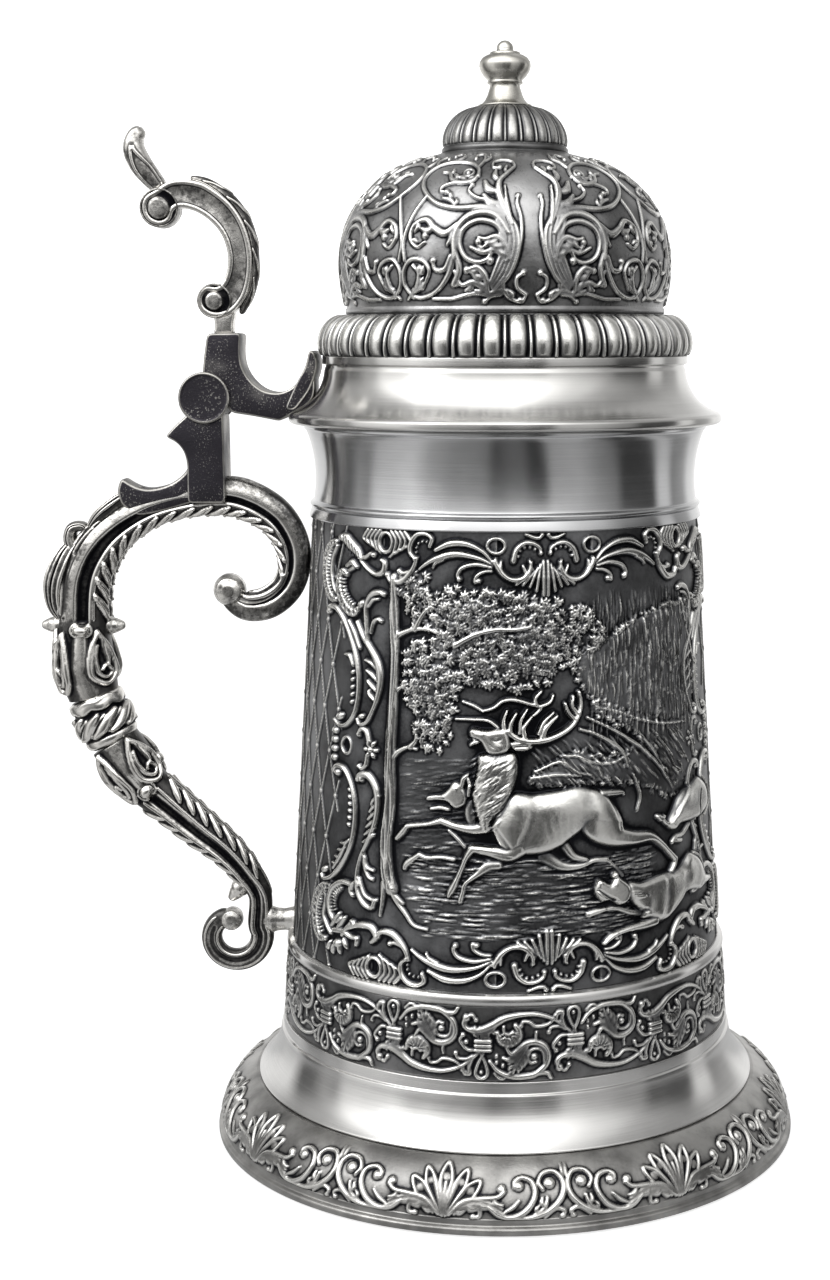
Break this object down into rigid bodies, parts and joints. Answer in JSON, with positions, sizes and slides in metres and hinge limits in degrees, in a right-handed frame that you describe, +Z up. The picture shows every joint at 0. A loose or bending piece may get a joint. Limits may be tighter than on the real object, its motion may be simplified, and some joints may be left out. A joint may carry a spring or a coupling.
{
  "type": "lidded pewter tankard",
  "caption": "Tapered relief-cast drinking tankard with a flared foot, scrolled handle, domed hinged lid, knob and thumb lift.",
  "frame": {"origin": "centre of the foot's resting plane, on the vessel's axis", "axes": "+Z up along the vessel's axis; -X towards the handle and the lid hinge; the lid hinge's axis runs along Y"},
  "size_m": [0.1906, 0.1508, 0.2764],
  "materials": {
    "cast_relief_pewter": "cast relief, dark patina in the recesses, rubbed bright on the high points",
    "turned_pewter": "lathe-turned and burnished",
    "cast_handle_pewter": "cast, rubbed by use",
    "dark_rough_pewter": "rough cast, darkened",
    "bright_knob_pewter": "turned, bright, slightly warm",
    "pin_steel": "plain"
  },
  "bodies": {
    "body": {"foot_rim": "cast_relief_pewter", "foot_flare": "turned_pewter", "frieze_ring": "cast_relief_pewter", "base_fillet": "turned_pewter", "floor_plate": "turned_pewter", "relief_drum": "cast_relief_pewter", "mouth_collar": "turned_pewter", "handle_upper_arm": "cast_handle_pewter", "handle_rope_collar": "cast_handle_pewter", "handle_lower_arm": "cast_handle_pewter", "handle_strut": "cast_handle_pewter", "hinge_post": "dark_rough_pewter", "hinge_pin": "pin_steel", "hinge_cap_front": "dark_rough_pewter", "hinge_cap_back": "dark_rough_pewter"},
    "lid": {"lid_skirt": "turned_pewter", "gadroon_ring": "cast_relief_pewter", "lid_dome": "cast_relief_pewter", "fluted_cap": "cast_relief_pewter", "finial": "bright_knob_pewter", "finial_stud": "pin_steel", "finial_washer": "pin_steel", "finial_nut": "pin_steel", "lid_shank": "dark_rough_pewter", "thumb_lift": "cast_handle_pewter"}
  },
  "joints": [
    {"name": "lid_hinge", "type": "hinge", "parent": "body", "child": "lid", "pos_m": [-0.075, 0, 0.1893], "axis": [0, -1, 0], "range_deg": [0, 110]}
  ]
}
